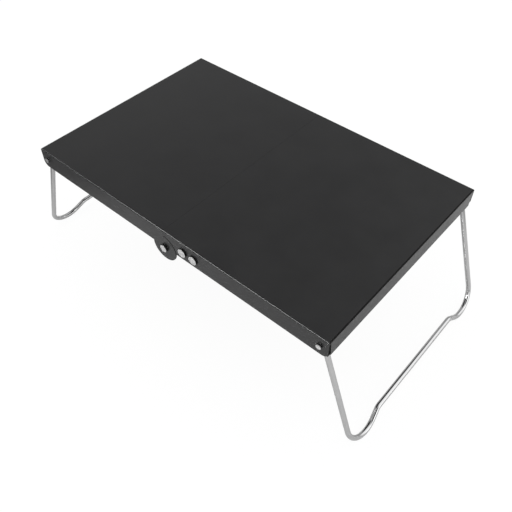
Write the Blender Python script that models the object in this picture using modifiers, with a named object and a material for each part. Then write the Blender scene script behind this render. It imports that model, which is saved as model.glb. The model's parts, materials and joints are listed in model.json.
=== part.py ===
"""Folding camp table: two bent-sheet half panels on a pair of side hinges, with a folding wire leg at each end.

World frame in metres: X runs along the table, Y from the front flange to the rear one, +Z up.
The origin lies on the ground under the middle of the table, which stands open on its legs.
"""

import math

import bmesh
import bpy

# Sheet panels
TABLE_LENGTH = 0.345
TABLE_WIDTH = 0.222
FLANGE_DEPTH = 0.0199
SHEET = 0.001
BEND_RADIUS = 0.0014
BEND_STEPS = 3
FOLD_SLIT = 0.0004
CORNER_ROUND = 0.006
END_SETBACK_TOP = 0.0008
END_SETBACK_BOTTOM = 0.0028
HEM_HEIGHT = 0.005
HEM_ROUND = 0.0009

# Side hinges, measured from the table top and from the fold axis, which lies a little left of the middle
FOLD_X = -0.0024
FOLD_AXIS_DEPTH = 0.0209
EAR_RADIUS = 0.0137
EAR_GAP = 0.0006
LEAF_SHEET = 0.0015
LEAF_RADIUS = 0.0105
LEAF_ARM_HEIGHT = 0.012
LEAF_ARM_LIFT = 0.002
LEAF_END_MARGIN = 0.0055
LEAF_CORNER = 0.003
LEAF_SHOULDER = 0.012
LEAF_SHOULDER_ANGLE = math.radians(100)
RIVET_DEPTH = 0.0114
RIVET_NEAR = 0.0228
RIVET_FAR = 0.0356
RIVET_HEAD_RADIUS = 0.0045
RIVET_HEAD_HEIGHT = 0.0014
RIVET_SHANK_RADIUS = 0.0022
RIVET_TAIL_RADIUS = 0.0035
RIVET_TAIL_HEIGHT = 0.0011
PIVOT_HEAD_RADIUS = 0.0039
PIVOT_HEAD_HEIGHT = 0.002
PIVOT_SHANK_RADIUS = 0.0021
PIVOT_TAIL_RADIUS = 0.0036
WASHER_RADIUS = 0.0046
WASHER_SHEET = 0.0008
RIM_EASE = 0.0004

# Wire legs, measured in the plane of the leg from its pivot
WIRE_RADIUS = 0.0025
LEG_PIVOT_DEPTH = 0.0102
LEG_PIVOT_INSET = 0.0082
LEG_SIDE_GAP = 0.0015
PIVOT_BEND = 0.0035
FOOT_REACH = 0.1262
FOOT_RADIUS = 0.0215
RISE_ANGLE = math.radians(32)
RUN_RISE = 0.0093
RUN_BEND = 0.010
LEG_HEAD_SWELL = 1.2
LEG_HEAD_HEIGHT = 0.0015

# Clearances
SEAT_GAP = 0.0003
HOLE_CLEARANCE = 0.0003
STOP_GAP = 0.0003
CUT_MARGIN = 0.002

# What follows from the sizes above
HALF_LENGTH = TABLE_LENGTH / 2
HALF_WIDTH = TABLE_WIDTH / 2
FLANGE_INSIDE = HALF_WIDTH - SHEET
TOP = FOLD_AXIS_DEPTH
FLANGE_BOTTOM = TOP - FLANGE_DEPTH
LEG_PIVOT_Z = TOP - LEG_PIVOT_DEPTH
LEG_HOLE_RADIUS = WIRE_RADIUS + HOLE_CLEARANCE
HEM_THICKNESS = 2 * SHEET

SMOOTH_ANGLE = math.radians(35)
ROUND_STEPS = 32
EAR_STEPS = 72

parts = bpy.data.collections.new("folding_camp_table")
cutters = bpy.data.collections.new("cutters")


def leg_splay():
    """The angle from the vertical at which the wire comes to rest on the rounded inner edge of the hem."""
    out = LEG_PIVOT_INSET - HEM_THICKNESS + HEM_ROUND
    down = FLANGE_DEPTH - LEG_PIVOT_DEPTH - HEM_ROUND
    reach = WIRE_RADIUS + STOP_GAP + HEM_ROUND
    return math.acos(reach / math.hypot(out, down)) - math.atan2(down, out)


LEG_SPLAY = leg_splay()
TABLE_HEIGHT = LEG_PIVOT_DEPTH + FOOT_REACH * math.cos(LEG_SPLAY) + WIRE_RADIUS
FOLD_AXIS_HEIGHT = TABLE_HEIGHT - FOLD_AXIS_DEPTH


def far_end(side, inset=0.0):
    """The X, from the fold axis, of the outer end of a half, or of a line inset from it."""
    return side * (HALF_LENGTH - inset) - FOLD_X


def clear_scene():
    for obj in list(bpy.data.objects):
        bpy.data.objects.remove(obj, do_unlink=True)
    for collection in (parts, cutters):
        bpy.context.scene.collection.children.link(collection)


def make_material(name, colour, roughness, metallic):
    material = bpy.data.materials.new(name)
    material.use_nodes = True
    shader = material.node_tree.nodes["Principled BSDF"]
    shader.inputs["Base Color"].default_value = (*colour, 1.0)
    shader.inputs["Roughness"].default_value = roughness
    shader.inputs["Metallic"].default_value = metallic
    return material


def make_empty(name, location, parent=None, turn=0.0):
    """An axis along Y that pieces hang on."""
    empty = bpy.data.objects.new(name, None)
    empty.location = location
    empty.rotation_euler = (0.0, turn, 0.0)
    empty.parent = parent
    parts.objects.link(empty)
    return empty


def add_object(name, mesh, collection, parent):
    obj = bpy.data.objects.new(name, mesh)
    obj.parent = parent
    collection.objects.link(obj)
    if collection == cutters:
        obj.hide_render = True
        obj.display_type = "WIRE"
    return obj


def finish(obj, material):
    """Gives a piece its material, and shades its round faces smooth."""
    obj.data.materials.append(material)
    obj.data.shade_smooth()
    obj.data.set_sharp_from_angle(angle=SMOOTH_ANGLE)
    return obj


def apply_boolean(obj, other, operation):
    modifier = obj.modifiers.new(f"{operation.lower()} {other.name}", "BOOLEAN")
    modifier.operation = operation
    modifier.object = other


def block_mesh(name, low, high):
    """A cube primitive stretched between two corners."""
    form = bmesh.new()
    bmesh.ops.create_cube(form, size=1.0)
    for vert in form.verts:
        for axis in range(3):
            vert.co[axis] = low[axis] if vert.co[axis] < 0 else high[axis]
    mesh = bpy.data.meshes.new(name)
    form.to_mesh(mesh)
    form.free()
    return mesh


def disc(name, collection, parent, centre, radius, low_y, high_y, steps=EAR_STEPS):
    """A cylinder along Y, between two values of Y, centred on centre = (x, z)."""
    form = bmesh.new()
    bmesh.ops.create_cone(
        form,
        cap_ends=True,
        segments=steps,
        radius1=radius,
        radius2=radius,
        depth=high_y - low_y,
    )
    mesh = bpy.data.meshes.new(name)
    form.to_mesh(mesh)
    form.free()
    obj = add_object(name, mesh, collection, parent)
    obj.rotation_euler = (math.pi / 2, 0.0, 0.0)
    obj.location = (centre[0], (low_y + high_y) / 2, centre[1])
    return obj


def arc(centre, radius, start, end, steps):
    """Points of an arc in the XZ plane, from the start angle to the end angle."""
    angles = [start + (end - start) * n / steps for n in range(steps + 1)]
    return [(centre[0] + radius * math.cos(a), centre[1] + radius * math.sin(a)) for a in angles]


def cut_outline(name, collection, parent, outline, low_y, high_y):
    """A flat outline in XZ given thickness along Y, as a closed mesh."""
    curve = bpy.data.curves.new(name, "CURVE")
    curve.dimensions = "2D"
    curve.fill_mode = "BOTH"
    curve.extrude = (high_y - low_y) / 2
    spline = curve.splines.new("POLY")
    spline.points.add(len(outline) - 1)
    spline.use_cyclic_u = True
    for point, (x, z) in zip(spline.points, outline):
        point.co = (x, z, 0.0, 1.0)
    flat = add_object(name + "_outline", curve, collection, parent)
    flat.rotation_euler = (math.pi / 2, 0.0, 0.0)
    flat.location = (0.0, (low_y + high_y) / 2, 0.0)
    return curve_to_solid(flat, name, collection, parent)


def curve_to_solid(curve_object, name, collection, parent):
    """Turns a filled curve into a mesh object at the same place, with its caps welded on."""
    bpy.context.view_layer.update()
    evaluated = curve_object.evaluated_get(bpy.context.evaluated_depsgraph_get())
    mesh = bpy.data.meshes.new_from_object(evaluated)
    form = bmesh.new()
    form.from_mesh(mesh)
    bmesh.ops.remove_doubles(form, verts=form.verts, dist=1e-6)
    bmesh.ops.recalc_face_normals(form, faces=form.faces)
    form.to_mesh(mesh)
    form.free()
    solid = add_object(name, mesh, collection, parent)
    solid.matrix_world = curve_object.matrix_world.copy()
    bpy.data.objects.remove(curve_object, do_unlink=True)
    return solid


def corner_cutter(name, parent, corner, inward, radius, low_y, high_y):
    """Rounds the square corner of a sheet: inward = (1 or -1, 1 or -1) points from the corner into the sheet."""
    centre = (corner[0] + inward[0] * radius, corner[1] + inward[1] * radius)
    start = math.atan2(0.0, -inward[0])
    middle = math.atan2(-inward[1], -inward[0])
    turn = math.remainder(middle - start, math.tau) * 2
    outline = arc(centre, radius, start, start + turn, 8)
    beyond = (corner[0] - inward[0] * CUT_MARGIN, corner[1] - inward[1] * CUT_MARGIN)
    outline += [(centre[0], beyond[1]), beyond, (beyond[0], centre[1])]
    return cut_outline(name, cutters, parent, outline, low_y, high_y)


def turned(name, collection, parent, profile, location, outward):
    """A profile of (radius, height) turned about Y: outward is -1 at the front of the table and 1 at the rear."""
    form = bmesh.new()
    verts = [form.verts.new((radius, 0.0, height)) for radius, height in profile]
    for start, end in zip(verts, verts[1:]):
        form.edges.new((start, end))
    if profile[0][0] > 0:
        form.edges.new((verts[-1], verts[0]))
    mesh = bpy.data.meshes.new(name)
    form.to_mesh(mesh)
    form.free()
    obj = add_object(name, mesh, collection, parent)
    screw = obj.modifiers.new("turn", "SCREW")
    screw.steps = ROUND_STEPS
    screw.render_steps = ROUND_STEPS
    screw.use_merge_vertices = True
    screw.merge_threshold = 1e-6
    obj.location = location
    obj.rotation_euler = (-outward * math.pi / 2, 0.0, 0.0)
    return obj


def build_tray(name, side, parent):
    """The bent sheet of one half: top, two long flanges and an end flange, cut square along the fold."""
    near = side * FOLD_SLIT / 2
    far = far_end(side)
    low = (min(near, far), -HALF_WIDTH, FLANGE_BOTTOM)
    high = (max(near, far), HALF_WIDTH, TOP)
    mesh = block_mesh(name, low, high)
    form = bmesh.new()
    form.from_mesh(mesh)
    opened = [f for f in form.faces if f.normal.z < -0.5 or f.normal.x * side < -0.5]
    bmesh.ops.delete(form, geom=opened, context="FACES")
    bends = [
        e
        for e in form.edges
        if len(e.link_faces) == 2 and all(v.co.z > FLANGE_BOTTOM + FLANGE_DEPTH / 2 for v in e.verts)
    ]
    bmesh.ops.bevel(
        form,
        geom=bends,
        offset=BEND_RADIUS,
        offset_type="OFFSET",
        segments=BEND_STEPS,
        profile=0.5,
        affect="EDGES",
    )
    form.to_mesh(mesh)
    form.free()
    tray = add_object(name, mesh, parts, parent)
    wall = tray.modifiers.new("sheet", "SOLIDIFY")
    wall.thickness = SHEET
    wall.offset = -1.0
    wall.use_even_offset = True
    return tray


def end_relief(name, parent, side, outward):
    """The tapered slit between a long flange and the end flange, closed at the bend and open below."""
    edge = outward * FLANGE_INSIDE
    top = TOP - BEND_RADIUS - SHEET / 2
    bottom = FLANGE_BOTTOM - CUT_MARGIN
    taper = (END_SETBACK_BOTTOM - END_SETBACK_TOP) / (TOP - FLANGE_BOTTOM)
    upper = END_SETBACK_TOP + taper * (TOP - top)
    lower = END_SETBACK_TOP + taper * (TOP - bottom)
    inside = far_end(side, HEM_THICKNESS + CUT_MARGIN)
    outside = far_end(side, -CUT_MARGIN)
    low = (min(inside, outside), min(edge, edge - outward * lower), bottom)
    high = (max(inside, outside), max(edge, edge - outward * lower), top)
    mesh = block_mesh(name, low, high)
    for vert in mesh.vertices:
        if vert.co.z > (top + bottom) / 2 and abs(vert.co.y - edge) > lower / 2:
            vert.co.y = edge - outward * upper
    return add_object(name, mesh, cutters, parent)


def build_hem(name, parent, side):
    """The bottom of the end flange folded back inside, to be joined to the tray."""
    inner = far_end(side, HEM_THICKNESS)
    middle = far_end(side, SHEET / 2)
    reach = FLANGE_INSIDE - END_SETBACK_BOTTOM - SEAT_GAP
    low = (min(inner, middle), -reach, FLANGE_BOTTOM)
    high = (max(inner, middle), reach, FLANGE_BOTTOM + HEM_HEIGHT)
    return add_object(name, block_mesh(name, low, high), cutters, parent)


def build_panel(name, side, parent, material):
    """One half of the top. The left one carries the hinge ears, and the right one is cut out round them."""
    panel = build_tray(name, side, parent)
    apply_boolean(panel, build_hem(f"{name}_hem", parent, side), "UNION")
    reach = FLANGE_INSIDE - END_SETBACK_TOP / 2
    for edge_name, x, inward in (
        ("outer", far_end(side), -side),
        ("inner", far_end(side, HEM_THICKNESS), side),
    ):
        corner = (x, FLANGE_BOTTOM)
        cutter = corner_cutter(
            f"{name}_hem_{edge_name}_round", parent, corner, (inward, 1), HEM_ROUND, -reach, reach
        )
        apply_boolean(panel, cutter, "DIFFERENCE")
    for place, outward in (("front", -1), ("rear", 1)):
        inside = outward * (FLANGE_INSIDE - SHEET / 2)
        outside = outward * (HALF_WIDTH + CUT_MARGIN)
        low_y, high_y = sorted((inside, outside))
        apply_boolean(panel, end_relief(f"{name}_{place}_relief", parent, side, outward), "DIFFERENCE")
        corner = (far_end(side), FLANGE_BOTTOM)
        rounding = corner_cutter(
            f"{name}_{place}_round", parent, corner, (-side, 1), CORNER_ROUND, low_y, high_y
        )
        apply_boolean(panel, rounding, "DIFFERENCE")
        holes = [("leg_hole", far_end(side, LEG_PIVOT_INSET), LEG_PIVOT_Z, LEG_HOLE_RADIUS)]
        if side < 0:
            sheet_y = sorted((outward * FLANGE_INSIDE, outward * HALF_WIDTH))
            ear = disc(f"{name}_{place}_ear", cutters, parent, (0.0, 0.0), EAR_RADIUS, *sheet_y)
            apply_boolean(panel, ear, "UNION")
            holes.append(("pivot_hole", 0.0, 0.0, PIVOT_SHANK_RADIUS + HOLE_CLEARANCE))
        else:
            room = disc(
                f"{name}_{place}_ear_room", cutters, parent, (0.0, 0.0), EAR_RADIUS + EAR_GAP, low_y, high_y
            )
            apply_boolean(panel, room, "DIFFERENCE")
            for rivet, x in (("near", RIVET_NEAR), ("far", RIVET_FAR)):
                holes.append(
                    (f"{rivet}_rivet_hole", x, TOP - RIVET_DEPTH, RIVET_SHANK_RADIUS + HOLE_CLEARANCE)
                )
        for hole_name, x, z, radius in holes:
            hole = disc(
                f"{name}_{place}_{hole_name}", cutters, parent, (x, z), radius, low_y, high_y, ROUND_STEPS
            )
            apply_boolean(panel, hole, "DIFFERENCE")
    return finish(panel, material)


def leaf_outline():
    """A disc round the fold axis with an arm towards the rivets, its lower edge just above the flange's."""
    low = FLANGE_BOTTOM + LEAF_ARM_LIFT
    high = low + LEAF_ARM_HEIGHT
    end = RIVET_FAR + LEAF_END_MARGIN
    last = math.tau + math.asin(low / LEAF_RADIUS)
    outline = arc((0.0, 0.0), LEAF_RADIUS, LEAF_SHOULDER_ANGLE, last, 28)
    outline += arc((end - LEAF_CORNER, low + LEAF_CORNER), LEAF_CORNER, -math.pi / 2, 0.0, 4)
    outline += arc((end - LEAF_CORNER, high - LEAF_CORNER), LEAF_CORNER, 0.0, math.pi / 2, 4)
    outline.append((LEAF_SHOULDER, high))
    return outline


def build_leaf(name, outward, parent, material):
    """The hinge plate riveted inside the right panel's flange, which pivots behind the left panel's ear."""
    outer = FLANGE_INSIDE - SEAT_GAP
    low_y, high_y = sorted((outward * outer, outward * (outer - LEAF_SHEET)))
    leaf = cut_outline(name, parts, parent, leaf_outline(), low_y, high_y)
    holes = (
        ("pivot", 0.0, 0.0, PIVOT_SHANK_RADIUS),
        ("near", RIVET_NEAR, TOP - RIVET_DEPTH, RIVET_SHANK_RADIUS),
        ("far", RIVET_FAR, TOP - RIVET_DEPTH, RIVET_SHANK_RADIUS),
    )
    for hole_name, x, z, radius in holes:
        hole = disc(
            f"{name}_{hole_name}_hole",
            cutters,
            parent,
            (x, z),
            radius + HOLE_CLEARANCE,
            low_y - CUT_MARGIN,
            high_y + CUT_MARGIN,
            ROUND_STEPS,
        )
        apply_boolean(leaf, hole, "DIFFERENCE")
    return finish(leaf, material)


def rivet_profile(head_radius, head_height, shank_radius, shank_length, tail_radius, tail_height):
    """From the middle of the head, outside the table, to the middle of the tail inside."""
    tail_top = -shank_length
    tail_bottom = tail_top - tail_height
    return [
        (0.0, head_height),
        (head_radius - RIM_EASE, head_height),
        (head_radius, head_height - RIM_EASE),
        (head_radius, 0.0),
        (shank_radius, 0.0),
        (shank_radius, tail_top),
        (tail_radius, tail_top),
        (tail_radius, tail_bottom + RIM_EASE),
        (tail_radius - RIM_EASE, tail_bottom),
        (0.0, tail_bottom),
    ]


def build_hinge(place, outward, left, right, dark, steel):
    """Leaf, rivets and washer at one side of the table."""
    build_leaf(f"{place}_hinge_leaf", outward, right, dark)
    head_seat = outward * (HALF_WIDTH + SEAT_GAP)
    leaf_inside = FLANGE_INSIDE - SEAT_GAP - LEAF_SHEET
    for rivet, x in (("near", RIVET_NEAR), ("far", RIVET_FAR)):
        profile = rivet_profile(
            RIVET_HEAD_RADIUS,
            RIVET_HEAD_HEIGHT,
            RIVET_SHANK_RADIUS,
            HALF_WIDTH + SEAT_GAP - (leaf_inside - SEAT_GAP),
            RIVET_TAIL_RADIUS,
            RIVET_TAIL_HEIGHT,
        )
        place_at = (x, head_seat, TOP - RIVET_DEPTH)
        finish(turned(f"{place}_leaf_rivet_{rivet}", parts, right, profile, place_at, outward), steel)
    washer_outer = leaf_inside - SEAT_GAP
    washer_inner = washer_outer - WASHER_SHEET
    hole = PIVOT_SHANK_RADIUS + HOLE_CLEARANCE
    ring = [
        (hole, WASHER_SHEET),
        (WASHER_RADIUS, WASHER_SHEET),
        (WASHER_RADIUS, 0.0),
        (hole, 0.0),
    ]
    seat = (0.0, outward * washer_inner, 0.0)
    finish(turned(f"{place}_pivot_washer", parts, left, ring, seat, outward), steel)
    profile = rivet_profile(
        PIVOT_HEAD_RADIUS,
        PIVOT_HEAD_HEIGHT,
        PIVOT_SHANK_RADIUS,
        HALF_WIDTH + SEAT_GAP - (washer_inner - SEAT_GAP),
        PIVOT_TAIL_RADIUS,
        RIVET_TAIL_HEIGHT,
    )
    finish(turned(f"{place}_pivot_rivet", parts, left, profile, (0.0, head_seat, 0.0), outward), steel)


def leg_half_path():
    """From the middle of the leg's ground run to its riveted end: (y, distance from the pivot axis, swell)."""
    side_y = FLANGE_INSIDE - LEG_SIDE_GAP - WIRE_RADIUS
    foot = (side_y - FOOT_RADIUS, FOOT_REACH - FOOT_RADIUS)
    run_depth = FOOT_REACH - RUN_RISE
    foot_top = foot[1] + FOOT_RADIUS * math.cos(RISE_ANGLE)
    foot_inner = foot[0] - FOOT_RADIUS * math.sin(RISE_ANGLE)
    bend_drop = RUN_BEND * (1 - math.cos(RISE_ANGLE))
    slope_run = (foot_top - run_depth - bend_drop) / math.tan(RISE_ANGLE)
    run_centre = (foot_inner - slope_run - RUN_BEND * math.sin(RISE_ANGLE), run_depth + RUN_BEND)
    down = math.pi / 2
    path = [(0.0, run_depth)]
    path += arc(run_centre, RUN_BEND, -down, -down + RISE_ANGLE, 4)
    path += arc(foot, FOOT_RADIUS, down + RISE_ANGLE, 0.0, 14)
    path += arc((side_y + PIVOT_BEND, PIVOT_BEND), PIVOT_BEND, math.pi, math.pi * 1.5, 5)
    path = [(y, s, 1.0) for y, s in path]
    head = HALF_WIDTH + SEAT_GAP
    path.append((head, 0.0, 1.0))
    path.append((head + RIM_EASE / 2, 0.0, LEG_HEAD_SWELL))
    path.append((head + LEG_HEAD_HEIGHT - RIM_EASE, 0.0, LEG_HEAD_SWELL))
    path.append((head + LEG_HEAD_HEIGHT, 0.0, 1.0))
    return path


def build_leg(name, parent, material):
    """One wire bent to a U with a raised ground run, its two ends turned outward and headed over."""
    half = leg_half_path()
    path = [(-y, s, swell) for y, s, swell in reversed(half[1:])] + half[1:]
    curve = bpy.data.curves.new(name, "CURVE")
    curve.dimensions = "3D"
    curve.bevel_depth = WIRE_RADIUS
    curve.bevel_resolution = 4
    curve.use_fill_caps = True
    spline = curve.splines.new("POLY")
    spline.points.add(len(path) - 1)
    for point, (y, s, swell) in zip(spline.points, path):
        point.co = (0.0, y, -s, 1.0)
        point.radius = swell
    wire = add_object(name + "_wire", curve, parts, parent)
    return finish(curve_to_solid(wire, name, parts, parent), material)


def main():
    clear_scene()
    black_coat = make_material("black_powder_coat", (0.035, 0.035, 0.037), 0.55, 0.0)
    hinge_steel = make_material("dark_hinge_steel", (0.05, 0.05, 0.052), 0.5, 0.3)
    bright_steel = make_material("bright_rivet_steel", (0.62, 0.62, 0.62), 0.35, 1.0)
    leg_steel = make_material("polished_leg_wire", (0.6, 0.6, 0.61), 0.22, 1.0)
    table = make_empty("table_frame", (FOLD_X, 0.0, FOLD_AXIS_HEIGHT))
    fold = make_empty("fold_axis", (0.0, 0.0, 0.0), table)
    build_panel("left_panel", -1, table, black_coat)
    build_panel("right_panel", 1, fold, black_coat)
    for place, outward in (("front", -1), ("rear", 1)):
        build_hinge(place, outward, table, fold, hinge_steel, bright_steel)
    for name, side, parent in (("left_leg", -1, table), ("right_leg", 1, fold)):
        hinge = (far_end(side, LEG_PIVOT_INSET), 0.0, LEG_PIVOT_Z)
        axis = make_empty(name + "_axis", hinge, parent, -side * LEG_SPLAY)
        build_leg(name, axis, leg_steel)


main()
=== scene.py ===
# %% [markdown]
# # A folding camp table
# A low table of black coated sheet steel. The top is two shallow trays that fold together on hinges at the
# middle of their long sides, and it stands on two bent wire legs that fold up underneath.
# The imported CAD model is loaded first. It fixes where every piece is and how it moves. Each later cell makes
# one piece or one finish, fitted to the boxes and hinge lines that are measured from it.

# %% Load the frame
import json
import math

import bmesh
import bpy
from mathutils import Matrix, Vector

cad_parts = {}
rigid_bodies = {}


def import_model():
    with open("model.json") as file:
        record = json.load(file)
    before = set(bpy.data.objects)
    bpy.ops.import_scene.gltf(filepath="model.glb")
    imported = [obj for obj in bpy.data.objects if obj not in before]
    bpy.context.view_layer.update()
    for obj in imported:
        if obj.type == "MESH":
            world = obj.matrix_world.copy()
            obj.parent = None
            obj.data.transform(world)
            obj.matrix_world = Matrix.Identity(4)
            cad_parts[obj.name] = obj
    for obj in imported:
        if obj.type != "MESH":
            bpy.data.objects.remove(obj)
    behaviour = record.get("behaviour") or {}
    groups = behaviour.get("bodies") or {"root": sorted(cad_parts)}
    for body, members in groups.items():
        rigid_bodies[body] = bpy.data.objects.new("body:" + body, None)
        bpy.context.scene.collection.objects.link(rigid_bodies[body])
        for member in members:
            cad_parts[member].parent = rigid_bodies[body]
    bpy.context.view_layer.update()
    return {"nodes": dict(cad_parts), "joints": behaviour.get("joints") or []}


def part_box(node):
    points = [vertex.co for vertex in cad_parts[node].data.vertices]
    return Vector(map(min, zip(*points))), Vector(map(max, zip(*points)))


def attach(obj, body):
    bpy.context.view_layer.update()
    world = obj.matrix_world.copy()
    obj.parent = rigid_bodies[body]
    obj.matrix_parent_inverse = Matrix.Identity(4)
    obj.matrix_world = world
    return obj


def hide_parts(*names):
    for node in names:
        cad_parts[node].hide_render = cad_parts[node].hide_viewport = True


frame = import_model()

nodes = frame["nodes"]
hinges = {joint["name"]: joint for joint in frame["joints"]}
print("nodes", sorted(nodes))

# %% [markdown]
# ## Measuring the sheet
# The trays are bent from one thickness of sheet, so a few measures describe them: where the top and the
# flange's lower edge lie, how long and wide the table is, and where the two halves meet. Those that a box or a
# hinge gives are read from the frame, so that this model follows the CAD. The sheet's thickness, its bend and
# the fine slit between the halves are written down. Written sizes have names in capitals, here and below.

# %% Measures of the trays
SHEET = 0.001
BEND_RADIUS = 0.0014
FOLD_SEAM = 0.0001
fold_point = Vector(hinges["table_fold"]["pos_m"])
right_low, right_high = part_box("right_panel")
top_height = right_high.z
flange_bottom = right_low.z
half_length = right_high.x
half_width = right_high.y
flange_inside = half_width - SHEET
ear_radius = fold_point.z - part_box("left_panel")[0].z
print("top", round(top_height, 5), "flange", round(top_height - flange_bottom, 5), "ear", round(ear_radius, 5))

# %% [markdown]
# ## The camera
# The photograph looks down on the front right of the table. Lens, place and turn come from matching the
# table's corners, its hinge and its feet in a frame of 512 by 512. The turn is a yaw round the vertical, a
# tilt downwards and a slight roll, applied to a camera that at rest looks down.

# %% Camera
PHOTO_SIDE = 512
PHOTO_FOCUS = 617.0
CAMERA_X, CAMERA_Y, CAMERA_ABOVE_TOP = 0.29525, -0.33814, 0.37232
YAW, TILT, ROLL = (math.radians(degrees) for degrees in (130.418, 47.788, 0.452))
camera_data = bpy.data.cameras.new("camera")
camera_data.sensor_width = 36.0
camera_data.lens = camera_data.sensor_width * PHOTO_FOCUS / PHOTO_SIDE
camera = bpy.data.objects.new("camera", camera_data)
turn = Matrix.Rotation(YAW - math.pi / 2, 4, "Z") @ Matrix.Rotation(math.pi / 2 - TILT, 4, "X")
turn = turn @ Matrix.Rotation(ROLL, 4, "Z")
camera.matrix_world = Matrix.Translation((CAMERA_X, CAMERA_Y, top_height + CAMERA_ABOVE_TOP)) @ turn
bpy.context.scene.collection.objects.link(camera)
bpy.context.scene.camera = camera
print("lens", round(camera_data.lens, 2), "mm")

# %% [markdown]
# ## Node helpers
# Finishes are made of shader nodes. Writing each node and each link on its own is long, so a few small
# functions do it. One makes a node and sets its sockets, and the others use it for what every finish needs:
# noise, ranges, sums, blends and bumps.

# %% Helpers for nodes
def add_node(tree, kind, inputs=None, **settings):
    """A node of that kind: settings are its own options, and inputs are values or links by socket."""
    node = tree.nodes.new(kind)
    for name, value in settings.items():
        setattr(node, name, value)
    for name, value in (inputs or {}).items():
        socket = node.inputs[name]
        if isinstance(value, bpy.types.NodeSocket):
            tree.links.new(value, socket)
        else:
            socket.default_value = value
    return node


def place_in_object(tree):
    """The point being shaded, in metres in the piece's own frame, so that a pattern moves with its piece."""
    return add_node(tree, "ShaderNodeTexCoord").outputs["Object"]


def noise(tree, vector, scale, detail, roughness):
    sockets = {"Vector": vector, "Scale": scale, "Detail": detail, "Roughness": roughness}
    return add_node(tree, "ShaderNodeTexNoise", sockets).outputs["Fac"]


def ramp(tree, fac, low, high, out_low, out_high):
    """Maps a grey value from one range to another, and holds it at the ends."""
    sockets = {"Value": fac, "From Min": low, "From Max": high, "To Min": out_low, "To Max": out_high}
    return add_node(tree, "ShaderNodeMapRange", sockets).outputs["Result"]


def calculate(tree, operation, *values):
    """One Math node on numbers or links, in the order of its sockets."""
    return add_node(tree, "ShaderNodeMath", dict(enumerate(values)), operation=operation).outputs[0]


def blend(tree, share, low, high, data_type="FLOAT"):
    """Low where the share is 0 and high where it is 1. Both are numbers, colours with alpha, or links."""
    sockets = {"Factor": share, "A": low, "B": high}
    return add_node(tree, "ShaderNodeMix", sockets, data_type=data_type).outputs["Result"]


def blend_colour(tree, share, dark, light):
    return blend(tree, share, (*dark, 1.0), (*light, 1.0), "RGBA")


def bump(tree, height, strength, distance, **below):
    """The normal that a height pattern makes, on top of another one where that is given as Normal."""
    sockets = {"Height": height, "Strength": strength, "Distance": distance, **below}
    return add_node(tree, "ShaderNodeBump", sockets).outputs["Normal"]


print("shader helpers ready")

# %% [markdown]
# Every finish here is one Principled shader. What is the same all over goes on its own sockets, and three
# sockets vary from point to point: colour, roughness and the normal.

# %% Start and finish a material
def start_material(name, **constants):
    """A material with one Principled shader, whose plain values are given by socket name."""
    material = bpy.data.materials.new(name)
    material.use_nodes = True
    tree = material.node_tree
    shader = tree.nodes["Principled BSDF"]
    for socket, value in constants.items():
        shader.inputs[socket.replace("_", " ")].default_value = value
    return material, tree, shader


def link_look(tree, shader, colour, roughness, normal):
    for socket, value in (("Base Color", colour), ("Roughness", roughness), ("Normal", normal)):
        tree.links.new(value, shader.inputs[socket])


print("materials that came with the CAD model", len(bpy.data.materials))

# %% [markdown]
# ## Black powder coat
# The sheet is sprayed with powder and baked. The coat is nearly black and satin, with a very fine pebbled
# skin and faint clouds where it lies thicker. The colour hardly changes, so most of the look is in the
# roughness and in two sizes of bump: the pebble, well under a millimetre, and a soft waviness of the coat.

# %% Powder coat
def powder_coat(name, dark, light):
    material, tree, shader = start_material(name, Metallic=0.0, Specular_IOR_Level=0.40)
    place = place_in_object(tree)
    clouds = noise(tree, place, 35.0, 3.0, 0.55)
    pebble = noise(tree, place, 2600.0, 2.0, 0.6)
    wave = noise(tree, place, 900.0, 2.0, 0.5)
    speck = noise(tree, place, 5200.0, 1.0, 0.5)
    tint = calculate(tree, "MULTIPLY", ramp(tree, clouds, 0.35, 0.65, 0.25, 0.75), speck)
    cloudy = ramp(tree, clouds, 0.3, 0.7, 0.31, 0.37)
    pebbled = ramp(tree, pebble, 0.3, 0.7, -0.03, 0.04)
    soft = bump(tree, wave, 0.15, 0.00004)
    link_look(
        tree,
        shader,
        colour=blend_colour(tree, tint, dark, light),
        roughness=calculate(tree, "ADD", cloudy, pebbled),
        normal=bump(tree, pebble, 0.7, 0.000015, Normal=soft),
    )
    return material


coat = powder_coat("black_powder_coat", (0.009, 0.009, 0.0095), (0.018, 0.018, 0.0185))
plate_coat = powder_coat("dark_hinge_steel", (0.012, 0.012, 0.0125), (0.024, 0.024, 0.025))
print("coats", coat.name, plate_coat.name)

# %% [markdown]
# Powder draws back from a sharp edge while it melts, so the cut edges of the sheet carry a thin, rough coat
# that looks dull and darker than the faces. They get their own finish, with a coarse grain and hardly any
# gloss. The same near black goes on the tight bend at the table's ends, as painted shade for the dark line
# that bend mirrors, and on the hem's face behind each corner slit, as painted shade there.

# %% Cut edge coat
def cut_edge_coat_and_painted_shade():
    material, tree, shader = start_material("thin_edge_coat_and_painted_shade", Metallic=0.0, Specular_IOR_Level=0.12)
    grain = noise(tree, place_in_object(tree), 3000.0, 3.0, 0.65)
    # Near black: the thin coat of the cut edges, and painted shade where it is put on the end bends and the hem.
    link_look(
        tree,
        shader,
        colour=blend_colour(tree, grain, (0.003, 0.003, 0.003), (0.012, 0.012, 0.012)),
        roughness=ramp(tree, grain, 0.3, 0.7, 0.62, 0.85),
        normal=bump(tree, grain, 0.6, 0.00003),
    )
    return material


edge_coat_and_painted_shade = cut_edge_coat_and_painted_shade()
print("edge coat", edge_coat_and_painted_shade.name)
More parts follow.
